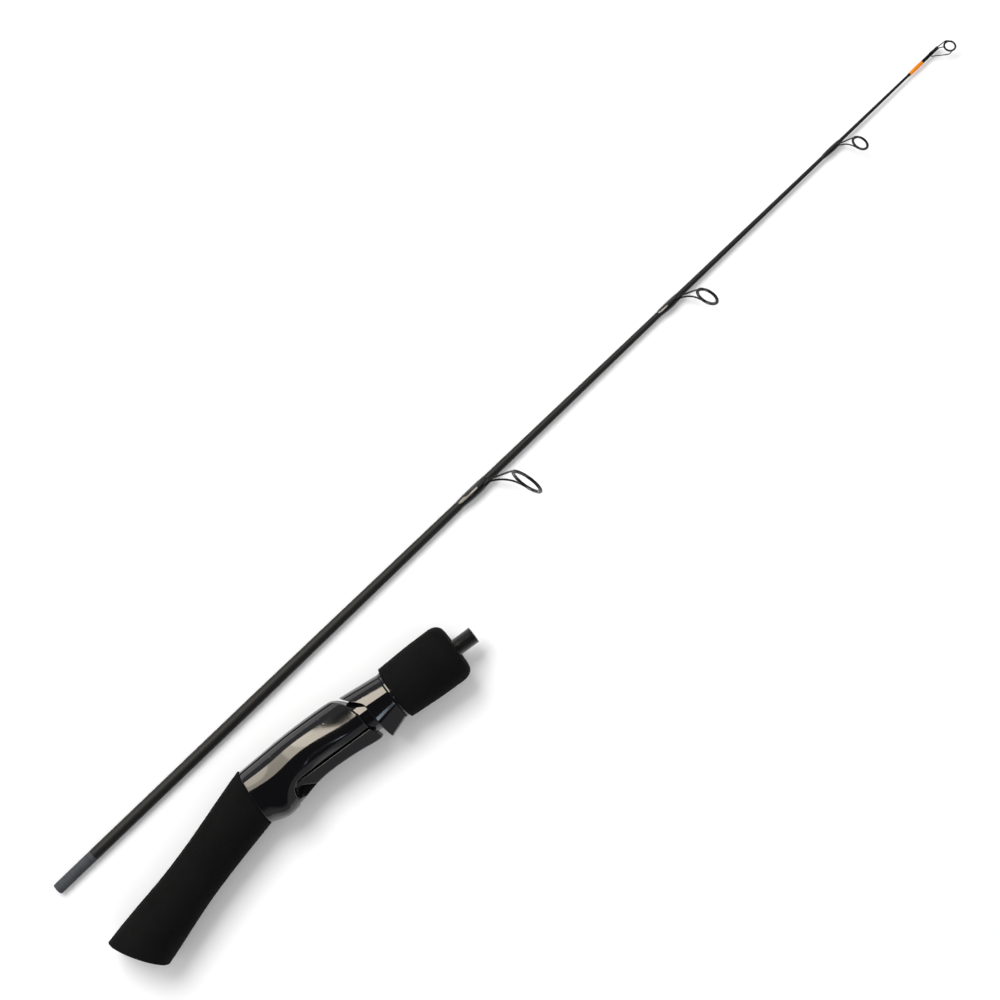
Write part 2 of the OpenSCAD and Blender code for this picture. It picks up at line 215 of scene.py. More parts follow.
def piece(name, part, matrix, body, look, stands_for=(), normals=None, sharp=40):
    """Adds a mesh, places it in the row frame, hangs it on the body it rides on and hides the CAD nodes it
    stands for.

    Normals, where given, are used only if no points were merged, since they go by the points' order.
    """
    points, faces = moved(part, matrix)
    mesh = bpy.data.meshes.new(name)
    mesh.from_pydata(points.tolist(), [], [tuple(map(int, f)) for f in faces])
    bm = bmesh.new()
    bm.from_mesh(mesh)
    bmesh.ops.remove_doubles(bm, verts=bm.verts, dist=MERGE_DIST)
    bmesh.ops.recalc_face_normals(bm, faces=bm.faces)
    bm.to_mesh(mesh)
    bm.free()
    mesh.shade_smooth()
    if normals is None:
        mesh.set_sharp_from_angle(angle=math.radians(sharp))
    elif len(mesh.vertices) == len(normals):
        turned = normals @ np.array(matrix)[:3, :3].T
        turned /= np.linalg.norm(turned, axis=1)[:, None]
        mesh.normals_split_custom_set_from_vertices(turned.tolist())
    obj = bpy.data.objects.new(name, mesh)
    bpy.context.scene.collection.objects.link(obj)
    mesh.materials.append(look)
    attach(obj, body)
    if stands_for:
        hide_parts(*stands_for)
    return obj


# ---------------------------------------------------------------- surfaces from a field


def smooth_max(a, b, k):
    """The larger of a and b, with a blend about k wide where they meet."""
    h = np.clip(0.5 + (a - b) / (2 * k), 0, 1)
    return b + (a - b) * h + k * h * (1 - h)


def smooth_min(a, b, k):
    return -smooth_max(-a, -b, k)


def slope_of(field, p):
    """Gradient of the field at the points p."""
    step = 0.01
    out = np.empty_like(p)
    for axis in range(3):
        d = np.zeros(3)
        d[axis] = step
        out[:, axis] = (field(*(p + d).T) - field(*(p - d).T)) / (2 * step)
    return out


def onto(field, p, rounds=4):
    """Moves points onto the surface field = 0, by no more than a short stride a round."""
    stride, least = 0.4, 0.05
    for _ in range(rounds):
        g = slope_of(field, p)
        t = field(*p.T) / np.maximum((g * g).sum(1), least)
        p = p - np.clip(t, -stride, stride)[:, None] * g
    return p


def skin_of(field, low, high, step):
    """Quads over the surface field = 0 in a box, their points evened out and on it, and its normals.

    Each cell that the surface crosses gets one point, the mean of the crossings on its edges, and each
    grid edge that it crosses gets the quad of the four cells round that edge.
    """
    grid = [np.arange(a, b + step, step) for a, b in zip(low, high)]
    f = field(*np.meshgrid(*grid, indexing="ij"))
    full = f < 0
    cells = tuple(n - 1 for n in f.shape)
    total, count = np.zeros(cells + (3,)), np.zeros(cells)

    def part(array, corner):
        return array[tuple(slice(c, c + n) for c, n in zip(corner, cells))]

    for axis in range(3):
        for others in ((0, 0), (0, 1), (1, 0), (1, 1)):
            a = list(others)
            a.insert(axis, 0)
            b = list(others)
            b.insert(axis, 1)
            cross = part(full, a) != part(full, b)
            fa, fb = part(f, a), part(f, b)
            t = np.where(cross, fa / np.where(cross, fa - fb, 1), 0)
            for k in range(3):
                total[..., k] += np.where(cross, t if k == axis else a[k], 0)
            count += cross
    live = count > 0
    index = np.full(cells, -1)
    index[live] = np.arange(live.sum())
    origin = np.argwhere(live)
    p = (origin + total[live] / count[live][:, None]) * step + np.array([g[0] for g in grid])
    faces = []
    for axis in range(3):
        u, v = [k for k in range(3) if k != axis]
        a = [slice(1, -1)] * 3
        a[axis] = slice(0, -1)
        b = [slice(1, -1)] * 3
        b[axis] = slice(1, None)
        at = np.argwhere(full[tuple(a)] != full[tuple(b)])
        at[:, [u, v]] += 1
        corner = []
        for du, dv in ((0, 0), (1, 0), (1, 1), (0, 1)):
            cell = at.copy()
            cell[:, u] -= du
            cell[:, v] -= dv
            corner.append(index[tuple(cell.T)])
        faces.append(np.stack(corner, 1))
    faces = np.concatenate(faces)
    ends = np.stack([faces, np.roll(faces, 1, 1)], 2).reshape(-1, 2)
    # evening: each point goes halfway to the mean of its neighbours, along the surface
    for _ in range(4):
        p = onto(field, p, 2)
        total, count = np.zeros_like(p), np.zeros(len(p))
        for a, b in (ends.T, ends.T[::-1]):
            np.add.at(total, a, p[b])
            np.add.at(count, a, 1)
        g = slope_of(field, p)
        g /= np.linalg.norm(g, axis=1)[:, None] + 1e-9
        pull = total / count[:, None] - p
        p = p + 0.5 * (pull - (pull * g).sum(1)[:, None] * g)
    p = onto(field, p)
    return (p, faces), slope_of(field, p)


# ---------------------------------------------------------------- materials


class Look:
    """A material made of nodes, with a Principled shader at its end."""

    def __init__(self, name, colour, rough, **sockets):
        self.material = bpy.data.materials.new(name)
        self.material.use_nodes = True
        self.tree = self.material.node_tree
        self.tree.nodes.clear()
        self.out = self.add("ShaderNodeOutputMaterial")
        self.shader = self.add("ShaderNodeBsdfPrincipled")
        self.tree.links.new(self.shader.outputs[0], self.out.inputs[0])
        self.shader.inputs["Base Color"].default_value = (*colour, 1)
        self.shader.inputs["Roughness"].default_value = rough
        for key, value in sockets.items():
            self.shader.inputs[key.replace("_", " ")].default_value = value
        self.place = self.add("ShaderNodeTexCoord").outputs["Object"]

    def add(self, kind, **values):
        node = self.tree.nodes.new(kind)
        for key, value in values.items():
            setattr(node, key, value)
        return node

    def link(self, source, target):
        self.tree.links.new(source, target)

    def maths(self, operation, a, b=None):
        node = self.add("ShaderNodeMath", operation=operation)
        for socket, value in zip(node.inputs, (a, b)):
            if isinstance(value, (int, float)):
                socket.default_value = value
            elif value is not None:
                self.link(value, socket)
        return node.outputs[0]

    def noise(self, scale, detail=2, rough=0.5, stretch=(1, 1, 1)):
        """Noise of about scale features a metre, more of them along an axis with a larger stretch."""
        mapping = self.add("ShaderNodeMapping")
        mapping.inputs["Scale"].default_value = stretch
        self.link(self.place, mapping.inputs["Vector"])
        node = self.add("ShaderNodeTexNoise")
        node.inputs["Scale"].default_value = scale
        node.inputs["Detail"].default_value = detail
        node.inputs["Roughness"].default_value = rough
        self.link(mapping.outputs[0], node.inputs["Vector"])
        return node.outputs["Fac"]

    def cells(self, scale):
        """Distance from the middle of scattered cells, about scale of them a metre."""
        node = self.add("ShaderNodeTexVoronoi")
        node.inputs["Scale"].default_value = scale
        self.link(self.place, node.inputs["Vector"])
        return node.outputs["Distance"]

    def between(self, value, low, high, to_low=0.0, to_high=1.0):
        """Maps low..high to to_low..to_high."""
        node = self.add("ShaderNodeMapRange")
        self.link(value, node.inputs["Value"])
        limits = {"From Min": low, "From Max": high, "To Min": to_low, "To Max": to_high}
        for key, number in limits.items():
            node.inputs[key].default_value = number
        return node.outputs[0]

    def mix(self, share, a, b):
        """Colour a to b by share; a and b are colours or sockets."""
        node = self.add("ShaderNodeMix", data_type="RGBA")
        self.link(share, node.inputs["Factor"])
        for key, value in ((6, a), (7, b)):
            if isinstance(value, tuple):
                node.inputs[key].default_value = (*value, 1)
            else:
                self.link(value, node.inputs[key])
        return node.outputs[2]

    def colour(self, socket):
        self.link(socket, self.shader.inputs["Base Color"])

    def rough(self, socket):
        self.link(socket, self.shader.inputs["Roughness"])

    def bump(self, *layers):
        """Layers of (height socket, depth in millimetres), each on the one before."""
        before = None
        for height, depth in layers:
            node = self.add("ShaderNodeBump")
            node.inputs["Strength"].default_value = 1
            node.inputs["Distance"].default_value = depth * MM
            self.link(height, node.inputs["Height"])
            if before is not None:
                self.link(before, node.inputs["Normal"])
            before = node.outputs[0]
        self.link(before, self.shader.inputs["Normal"])

    def along_blank(self):
        """Millimetres along the blank from its butt."""
        row = TIP.inverted()[0]
        node = self.add("ShaderNodeVectorMath", operation="DOT_PRODUCT")
        self.link(self.place, node.inputs[0])
        node.inputs[1].default_value = row[:3]
        return self.maths("ADD", node.outputs["Value"], row[3])

    def turns(self, x, pitch):
        """Sine wave along x, one turn a pitch."""
        return self.maths("SINE", self.maths("MULTIPLY", x, 2 * math.pi / pitch))

    def edges(self, low, high):
        """0 away from convex edges, 1 on them."""
        geometry = self.add("ShaderNodeNewGeometry")
        return self.between(geometry.outputs["Pointiness"], low, high)


def foam():
    """Ground closed-cell EVA: black, dull, with a fine open grain."""
    look = Look("eva_foam", (0.004, 0.004, 0.0042), 0.9, Specular_IOR_Level=0.08)
    grain, cells, patches = look.noise(2400, 3, 0.7), look.cells(1500), look.noise(60, 3, 0.6)
    deep, pale, dusty = (0.0018, 0.0018, 0.0019), (0.0056, 0.0056, 0.0059), (0.0066, 0.0066, 0.0069)
    grained = look.mix(look.between(grain, 0.35, 0.75), deep, pale)
    look.colour(look.mix(look.between(patches, 0.35, 0.7, 0, 0.45), grained, dusty))
    look.rough(look.between(grain, 0.3, 0.7, 0.82, 0.97))
    look.bump((patches, 0.12), (cells, 0.09), (grain, 0.07))
    return look.material


def lacquer(name, colour, rough, streak=(1, 1, 1)):
    """Glossy black moulding with orange peel, dust and duller edges."""
    peel, dust_depth, dust_colour = 0.004, 0.004, (0.2, 0.2, 0.2)
    look = Look(name, colour, rough, Specular_IOR_Level=0.5)
    worn = look.edges(0.52, 0.6)
    dust = look.between(look.cells(420), 0.0, 0.06, 1, 0)
    thin = look.between(look.noise(55, 2), 0.5, 0.68)
    specks = look.maths("MULTIPLY", dust, thin)
    base = look.mix(worn, colour, tuple(3 * c + 0.01 for c in colour))
    look.colour(look.mix(look.maths("MULTIPLY", specks, 0.25), base, dust_colour))
    smear = look.between(look.noise(38, 3, 0.6, streak), 0.4, 0.8, rough, rough + 0.09)
    look.rough(look.maths("ADD", smear, look.maths("MULTIPLY", worn, 0.2)))
    look.bump((look.noise(260, 2), peel), (specks, dust_depth))
    return look.material


def carbon():
    """Unsanded blank with the ridges that its wrapping tape leaves, and the sanded stub at its butt."""
    tape_pitch, stub_fade = 1.1, 0.4
    look = Look("blank_carbon", (0.012, 0.012, 0.0125), 0.5, Specular_IOR_Level=0.22)
    x = look.along_blank()
    wander = look.noise(90, 2)
    tape = look.turns(look.maths("ADD", x, wander), tape_pitch)
    fine = look.noise(500, 3, 0.6, (6, 1, 1))
    frayed = look.maths("ADD", x, look.maths("MULTIPLY", fine, 0.5))
    stub = look.between(frayed, STUB_LEN, STUB_LEN + stub_fade, 1, 0)
    skin = look.mix(look.between(fine, 0.3, 0.75), (0.007, 0.007, 0.0075), (0.0145, 0.0145, 0.015))
    rings = look.noise(240, 3, 0.7, (9, 0.4, 0.4))
    sanded = look.mix(look.between(rings, 0.35, 0.65), (0.032, 0.035, 0.039), (0.058, 0.063, 0.069))
    look.colour(look.mix(stub, skin, sanded))
    duller = look.maths("MULTIPLY", stub, 0.2)
    look.rough(look.maths("ADD", look.between(fine, 0.2, 0.8, 0.44, 0.6), duller))
    look.bump((tape, 0.006), (fine, 0.008), (rings, 0.006))
    return look.material


def whipping(name, dark, light, pitch=0.18, gloss=1.0):
    """Thread wound side by side round the blank, under a clear epoxy coat, with painted shade in the
    grooves between its turns and painted highlight on their crests.
    """
    look = Look(name, dark, 0.45, Specular_IOR_Level=0.15,
                Coat_Weight=gloss, Coat_Roughness=0.04, Coat_IOR=1.42)
    turns = look.turns(look.along_blank(), pitch)
    # painted shade and highlight: colour goes from dark in the grooves between thread turns to light on
    # their crests
    shade = look.between(turns, -1, 1)
    look.colour(look.mix(look.maths("MULTIPLY", shade, look.noise(300, 2)), dark, light))
    look.rough(look.between(look.noise(200, 2), 0.3, 0.7, 0.35, 0.55))
    look.bump((look.noise(160, 1), 0.01), (turns, 0.01))
    return look.material


def painted_wire():
    """Black coated steel wire, scuffed paler here and there."""
    black, scuffed = (0.004, 0.004, 0.005), (0.06, 0.06, 0.06)
    look = Look("guide_black", black, 0.28, Specular_IOR_Level=0.25)
    scuff = look.between(look.noise(900, 3, 0.7), 0.68, 0.78)
    look.colour(look.mix(look.maths("MULTIPLY", scuff, 0.3), black, scuffed))
    look.rough(look.between(look.noise(400, 2), 0.3, 0.7, 0.2, 0.34))
    look.bump((look.noise(1500, 2), 0.004),)
    return look.material


def ceramic():
    """Polished dark ring insert."""
    look = Look("guide_insert", (0.008, 0.008, 0.01), 0.1, Specular_IOR_Level=0.5)
    cloud = look.noise(700, 3, 0.6)
    look.colour(look.mix(look.between(cloud, 0.3, 0.7), (0.006, 0.006, 0.008), (0.012, 0.012, 0.014)))
    look.rough(look.between(cloud, 0.3, 0.7, 0.07, 0.14))
    look.bump((look.noise(300, 2), 0.003),)
    return look.material


def satin(name, colour, rough):
    """Plain moulded plastic."""
    look = Look(name, colour, rough)
    grain = look.noise(1100, 3, 0.6)
    darker, paler = (tuple(k * c for c in colour) for k in (0.8, 1.25))
    look.colour(look.mix(look.between(grain, 0.3, 0.7), darker, paler))
    look.rough(look.between(grain, 0.3, 0.7, rough - 0.06, rough + 0.08))
    look.bump((grain, 0.01),)
    return look.material


STUB_LEN = 23                       # sanded length at the butt of the blank
FOAM = foam()
SEAT_GLOSS = lacquer("seat_gloss", (0.0035, 0.0035, 0.004), 0.05)
TUBE_GLOSS = lacquer("tube_gloss", (0.003, 0.003, 0.003), 0.035, streak=(0.3, 1, 1))
RING_GLOSS = lacquer("ring_gloss", (0.006, 0.006, 0.007), 0.12)
CARBON = carbon()
# for each wrap the first colour is painted shade in the grooves and the second is painted highlight on the
# thread crests; the thread's own colour lies between them
THREAD = whipping("epoxy_black", (0.003, 0.003, 0.0035), (0.009, 0.009, 0.011))
MARK = whipping("orange_mark", (0.6, 0.145, 0.001), (0.95, 0.34, 0.002), 0.24, 0.3)
WIRE = painted_wire()
CERAMIC = ceramic()
NUT = satin("nut_plastic", (0.03, 0.03, 0.032), 0.45)
BUSH = satin("bush", (0.25, 0.25, 0.23), 0.55)

# ---------------------------------------------------------------- blank and tip top

BLANK_R = (blank_high.z - blank_low.z) / MM / 2
BLANK_LEN = (blank_high.x - blank_low.x) / MM
PARALLEL_LEN = 125                  # length from the butt over which the blank doesn't taper
TIP_R = 0.5
BORE_R = 1.7
BORE_SEEN = 60                      # depth to which the hollow of the blank is modelled


def span(node):
    """Where a node of the tip section starts and ends, in millimetres from the butt."""
    return [(corner.x - butt.x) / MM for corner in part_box(node)]


def blank_at(x):
    """Radius of the blank at x from its butt."""
    share = max(0, x - PARALLEL_LEN) / (BLANK_LEN - PARALLEL_LEN)
    return BLANK_R + (TIP_R - BLANK_R) * share


def make_blank():
    sanded = 0.04                   # depth of the sanding on the stub
    outline = [(BORE_SEEN, 0), (BORE_SEEN, BORE_R - 0.1)]
    outline += rounded([(BORE_SEEN, BORE_R - 0.1, 0), (0, BORE_R, 0.15),
                        (0, BLANK_R - sanded, 0.35), (STUB_LEN, BLANK_R - sanded, 0)])
    outline += [(x, blank_at(x)) for x in np.arange(STUB_LEN + 0.3, BLANK_LEN - 0.2, 2.5)]
    outline += [(BLANK_LEN - 0.15, TIP_R), (BLANK_LEN, TIP_R - 0.15), (BLANK_LEN, 0)]
    piece("blank_tube", revolve(outline, 72), TIP, "tip_section", CARBON, ["blank"])


def ring_frame(x, h, lean, turn):
    """Places a ring made about X at x along the blank and h above its axis, leant and turned."""
    return (Matrix.Translation((x, 0, h)) @ Matrix.Rotation(math.radians(turn), 4, "Z")
            @ Matrix.Rotation(math.radians(lean), 4, "Y"))


def on_ring(place, radius, angle):
    """Point of a ring at an angle from its lowest point."""
    a = math.radians(angle)
    return np.array(place @ Vector((0, radius * math.sin(a), -radius * math.cos(a))))


def hoop(place, radius, wire, wide=1.0, sides=24):
    """Ring of round section, or of an oval one that is wide times as wide as it is deep."""
    a = np.arange(sides) * 2 * math.pi / sides
    section = list(zip(wire * wide * np.cos(a), radius + wire * np.sin(a)))
    return moved(revolve(section, 96, closed=True), place)


class Guide:
    """One guide of the blank: a wire ring on two legs, its insert, its foot and its wrap."""

    def __init__(self, number, ring_r, wire, lean, turn, wrap_len, leg_x):
        self.number, self.wire, self.leg_x = number, wire, leg_x
        where = in_tip(middle(f"guide_ring_{number}"))
        self.h = where.z
        self.ring_r = ring_r - wire / 2
        self.place = ring_frame(where.x, where.z, lean, turn)
        self.wrap_x = span(f"wrap_coat_{number}")[0]
        self.wrap_len = wrap_len

    def leg(self, side):
        """Wire that rises from the foot and runs into the side of the ring."""
        w = self.wire
        start = np.array((self.leg_x, side * w * 0.7, blank_at(self.leg_x) + w * 1.1))
        end = on_ring(self.place, self.ring_r, side * 60)
        rise = np.array((0.25, side * 0.03, 0.24)) * self.h
        join = np.array((0.063, side * 0.137, 0.285)) * self.h
        path = bezier(start, start + rise, end - join, end, 40)
        step = rise / rise[0] * w
        low, flat = start - (4 * w, 0, 1.7 * w), start - (2.8 * w, 0, 1.4 * w)
        run_in = bezier(low, flat, start - 1.2 * step, start, 12)
        return tube(np.concatenate([run_in[:-1], path]), w * 0.49)

    def foot(self):
        """Ground foot that both legs run into, thinned towards its end under the wrap."""
        w, thin, sunk, square = self.wire, 0.25, 0.1, 0.6
        x0, x1 = self.wrap_x + 2, self.leg_x + 0.2 * w
        a = np.linspace(0, 2 * math.pi, 28, endpoint=False)
        across, up = (np.sign(wave) * np.abs(wave) ** square for wave in (np.cos(a), np.sin(a)))
        rings = []
        for t in np.linspace(0, 1, 24):
            x = x0 + (x1 - x0) * t
            rise = thin + (w - thin) * min(1, t / 0.85)
            half = 0.95 * w * (0.35 + 0.65 * min(1, t / 0.5))
            z = blank_at(x) - sunk + rise / 2 + (rise / 2 + sunk) * up
            rings.append(np.stack([np.full_like(a, x), half * across, z], 1))
        return loft(rings)

    def coat(self):
        """Epoxy over blank and foot: a round sleeve with a hump above it that is higher at the leg."""
        w, thick, dip = self.wire, 0.36, 0.05
        a = np.linspace(0, 2 * math.pi, 56, endpoint=False)
        across, up = np.sin(a), np.cos(a)
        rings = []
        for t in np.linspace(0, 1, 60):
            x, arch = self.wrap_x + self.wrap_len * t, math.sin(math.pi * t)
            r = blank_at(x)
            if 0 < t < 1:
                sleeve = r + thick * arch ** 0.45
                centre = r * 0.45
                hump = r * 0.6 + (r * 0.12 + w * 0.8 + thick) * arch ** 0.6 * (0.5 + 0.5 * t)
                over = centre * up + np.sqrt(np.maximum(hump ** 2 - (centre * across) ** 2, 0))
                radius = smooth_max(np.full_like(a, sleeve), over, 0.25 * w)
            else:
                radius = np.full_like(a, r - dip)
            rings.append(np.stack([np.full_like(a, x), radius * across, radius * up], 1))
        return loft(rings)

    def make(self):
        n, body = self.number, "tip_section"
        ring = hoop(self.place, self.ring_r, self.wire / 2)
        part = joined(ring, self.leg(-1), self.leg(1), self.foot())
        piece(f"guide_{n}_wire", part, TIP, body, WIRE, [f"guide_frame_{n}"])
        depth = self.wire * 0.45
        insert = hoop(self.place, self.ring_r - 2 * depth, depth, 1.66)
        piece(f"guide_{n}_insert", insert, TIP, body, CERAMIC, [f"guide_ring_{n}"])
        piece(f"guide_{n}_epoxy", self.coat(), TIP, body, THREAD,
              [f"wrap_coat_{n}", f"wrap_thread_{n}"])


GUIDES = [Guide(1, ring_r=8.4, wire=1.0, lean=18.5, turn=-0.5, wrap_len=18.0, leg_x=274.0),
          Guide(2, ring_r=5.8, wire=0.85, lean=27.5, turn=-3, wrap_len=12.7, leg_x=394.9),
          Guide(3, ring_r=4.25, wire=0.65, lean=29.5, turn=-9, wrap_len=10.9, leg_x=495.3)]


def make_tip_top():
    """Sleeve over the end of the blank, and the end ring on two bowed wires and a short back one."""
    wire, lean, turn = 0.5, 47, -15
    ring_r = 3 - wire / 2
    where = in_tip(middle("tip_top_ring"))
    place = ring_frame(where.x, where.z, lean, turn)
    tube_x, tube_end = span("tip_top_tube")
    tube_r = 0.78
    legs = []
    for side in (-1, 1):
        start = np.array((tube_x + 4.9, side * (tube_r + wire * 0.4), 0.2))
        end = on_ring(place, ring_r, side * 92)
        bow = end + (-1.7, side * 0.7, -0.8)
        sweep = bezier(start, start + (1.5, side * 0.55, 1), bow - (1.8, side * 0.55, 1.2), bow, 36)
        turn_in = bezier(bow, bow + (0.7, side * 0.2, 0.45), end + (-0.5, side * 0.6, -0.4), end, 12)
        legs.append(tube(np.concatenate([sweep[:-1], turn_in]), wire / 2, 16))
    back = on_ring(place, ring_r, 0)
    start = np.array((tube_end - 0.6, 0, tube_r + 0.1))
    legs.append(tube(bezier(start, start + (1, 0, 0.2), back - (0.6, 0, 1.2), back, 20), wire / 2, 16))
    part = joined(hoop(place, ring_r, wire / 2, sides=20), *legs)
    piece("tip_top_wire", part, TIP, "tip_section", WIRE, ["tip_top_frame"])
    insert = hoop(place, ring_r - 0.43, 0.225, 1.7, sides=20)
    piece("tip_top_insert", insert, TIP, "tip_section", CERAMIC, ["tip_top_ring"])
    shell = rounded([(tube_x, 0, 0), (tube_x, tube_r, 0.12), (tube_end, tube_r, 0.2), (tube_end, 0, 0)])
    piece("tip_top_sleeve", revolve(shell, 40), TIP, "tip_section", WIRE, ["tip_top_tube"])


def sleeve(x0, x1, r0, r1, bulge):
    """Wound thread from radius r0 to r1 that swells by bulge between its ends and dips at them."""
    dip = 0.12
    outline = [(x0, 0), (x0, r0 - dip)]
    for t in np.linspace(0, 1, 25)[1:-1]:
        outline.append((x0 + (x1 - x0) * t, r0 + (r1 - r0) * t + bulge * math.sin(math.pi * t) ** 0.6))
    return revolve(outline + [(x1, r1 - dip), (x1, 0)], 40)


def make_tip_wraps():
    low, high = span("tip_mark_wrap")
    r = blank_at(low)
    mark = sleeve(low, high, r + 0.18, 0.78, 0.14)
    piece("orange_mark", mark, TIP, "tip_section", MARK, ["tip_mark_wrap"])
    low, high = span("tip_trim_wrap")
    trim = sleeve(low, high, r + 0.05, r + 0.18, 0.05)
    piece("black_trim", trim, TIP, "tip_section", THREAD, ["tip_trim_wrap"])


# ---------------------------------------------------------------- reel seat and hood

SEAT_TILT = math.radians(2.8)
BARREL_R = 9.4
HOOD_FRONT = -46.2
# palm side, reel side and half thickness of the seat at x, then x of its front edge and of the hood's
# rim at y
PALM = through([(-126, 13.0), (-109, 14.1), (-98, 14.8), (-88, 15.0), (-73, 14.7), (-58, 13.6)])
REEL = through([(-126, 13.2), (-120, 15.4), (-115, 16.3), (-111, 15.8), (-105, 14.0), (-96, 11.7),
                (-81, 11.0), (-70, 11.8), (-64, 12.5), (-58, 12.3)])
THICK = through([(-126, 12.5), (-110, 13.4), (-90, 13.4), (-73, 12.9), (-58, 11.6)])
SEAT_EDGE = through([(-20, -56.6), (-11, -59.8), (-5.1, -62.2), (-1.2, -62.8), (3.1, -63.0), (7.3, -64.0),
                     (11.9, -66.4), (13.8, -68.2), (16, -71.5)])
HOOD_RIM = through([(-17, -56.3), (-10.7, -57.4), (-5.6, -57.8), (-0.5, -58.2), (3.0, -58.3), (4.5, -58.6),
                    (6, -59.6), (9, -62.6), (13.4, -66.7), (16, -69.1)])


def egg(across, half, z, power):
    """Field of an egg-shaped section: across is 1 on its outline in the middle plane."""
    return (np.abs(across) ** power + np.abs(z / half) ** power) ** (1 / power) - 1


def recess_edge(x, y, centre, size, power):
    """About the distance inside the outline of the recess: straight ahead of its round rear end."""
    u = np.maximum(centre[0] - x, 0) / size[0]
    v = np.maximum(y - centre[1], 0) / size[1]
    q = (u ** power + v ** power) ** (1 / power) + 1e-6
    reach = size[1] + (size[0] - size[1]) * (u / q) ** 2
    return (1 - q) * reach


def ramp(x, start, end):
    """Smooth step from 0 at start to 1 at end."""
    t = np.clip((x - start) / (end - start), 0, 1)
    return t * t * (3 - 2 * t)


def seat_field(x, y, z):
    """Reel seat: crowned body, recess with a bevel round it, saddle, fixed hood and both cut ends."""
    palm, reel, half = PALM(x), REEL(x), THICK(x)
    # crown that wanders a little and is flatter towards the rear
    wave_start, wave_len, wave = -78, 7.0, 1.1
    sway = y + np.sin((x - wave_start) / wave_len) * np.maximum(1 - (y / palm) ** 2, 0) * wave
    across = np.where(sway > 0, sway / palm, sway / reel)
    square = 2.3 - 0.25 * ramp(x, -102, -80)
    square = square + np.where(y < 0, 0.8, 0) * ramp(x, -92, -100) * ramp(x, -122, -114)
    # bevel round the recess, then the groove, which the lip of the fixed hood closes off below
    outer = recess_edge(x, y, (-97, -15), (15.7, 13), 2)
    inner = recess_edge(x, y, (-99, -12.5), (8.4, 7.7), 2.4)
    inner = smooth_min(inner, y + 12.5 + 0.31 * (x + 106.4), 1.2)
    bevel_wide, bevel_slope, groove_deep, wall = 4.5, 0.62, 4.2, 0.7
    bevel = smooth_max(np.zeros_like(x), np.minimum(outer, bevel_wide) * bevel_slope, 0.25)
    groove = groove_deep * ramp(inner, 0, wall)
    cut = egg(across, half - bevel, z, square) * 12.5 + groove
    # saddle with sloping flanks and a hollow beside the fixed hood
    saddle_side, saddle_half, saddle_back, web = -5.9, 10.0, -108.5, 5.2
    flank = -0.53 * (y - saddle_side) + 0.848 * (np.abs(z) - saddle_half)
    crown = smooth_max(flank, -y - reel, 0.8)
    saddle = smooth_max(crown, y - saddle_side, 0.4)
    dx, dy, cosine, sine = x + 102.6, y + 11.0, 0.975, 0.22
    u, v = dx * cosine - dy * sine, dx * sine + dy * cosine
    wide = 3.0 - 0.22 * np.clip(u + 2, 0, 8)
    hollow = (np.sqrt((u / 6.6) ** 2 + (v / wide) ** 2) - 1) * 2.8
    saddle = smooth_max(saddle, np.minimum(-hollow, np.abs(z) - web), 0.4)
    saddle = smooth_max(saddle, saddle_back - x, 0.8)
    whole = smooth_min(cut, saddle, 0.3)
    # pocket for the rear end of the reel foot
    pocket_half, pocket_back, lip_front, lip_side = 4.4, -113, -109.5, -15.0
    bed = y + 9.6 + 0.075 * np.maximum(x + 105.5, 0)
    pocket = smooth_max(smooth_max(bed, np.abs(z) - pocket_half, 0.3), pocket_back - x, 0.3)
    pocket = np.where(x < lip_front, smooth_max(pocket, lip_side - y, 0.3), pocket)
    whole = smooth_max(whole, -pocket, 0.3)
    # front edge, leaning back below its rim, and joint with the rear grip
    draft, draft_from = 0.2, 12
    whole = smooth_max(whole, x - SEAT_EDGE(y) + draft * (draft_from - np.abs(z)), 0.45)
    joint = -(x - SEAT_BACK) * math.cos(SEAT_TILT) + y * math.sin(SEAT_TILT)
    return smooth_max(whole, joint, 0.25)


def hood_field(x, y, z):
    """Moving hood: widens backwards towards its slanted rim, with flats beside the reel foot."""
    back = HOOD_FRONT - x
    palm = 11.5 + 0.09 * back
    reel = 11.9 + 0.36 * np.maximum(back - 1, 0)
    half = 11.9 + 0.03 * back
    outside = np.where(y > 0, egg(y / palm, half, z, 2.2), egg(y / reel, half, z, 3.0)) * 11
    # flats that draw in towards the reel foot, then the slanted rim and the front face
    crease = -7.3 - 0.26 * back
    facet = -0.574 * (y - crease) + 0.819 * (np.abs(z) - 9.5)
    whole = smooth_max(outside, facet, 0.12)
    whole = smooth_max(whole, HOOD_RIM(y) - x, 0.5)
    whole = smooth_max(whole, -back, 0.45)
    # bore over the barrel and pocket for the front end of the reel foot
    bore = np.sqrt(y * y + z * z) - BARREL_R - 0.08
    pocket = smooth_max(smooth_max(-y - reel + 1.8, np.abs(z) - 4.6, 0.3), y + 6, 0.3)
    pocket = smooth_max(pocket, x + 49, 0.3)
    return smooth_max(whole, -smooth_min(bore, pocket, 0.2), 0.2)


def make_seat():
    part, normals = skin_of(seat_field, (-128, -18, -15), (-56, 17, 15), 0.38)
    piece("seat_shell", part, HANDLE, "handle", SEAT_GLOSS, ["seat_body"], normals=normals)


def make_hood():
    part, normals = skin_of(hood_field, (-70, -17.5, -13.5), (-45, 15, 13.5), 0.22)
    piece("hood_shell", part, HANDLE, "hood", SEAT_GLOSS, ["moving_hood"], normals=normals)


def make_collar():
    back, front, outer, inner = HOOD_FRONT, -44.9, 11.7, BARREL_R + 0.06
    outline = rounded([(back, inner, 0.15), (back, outer, 0.3), (front, outer, 0.3), (front, inner, 0.15)],
                      closed=True, steps=5)
    piece("hood_collar", revolve(outline, 96, closed=True), HANDLE, "hood", RING_GLOSS,
          ["hood_ring"])


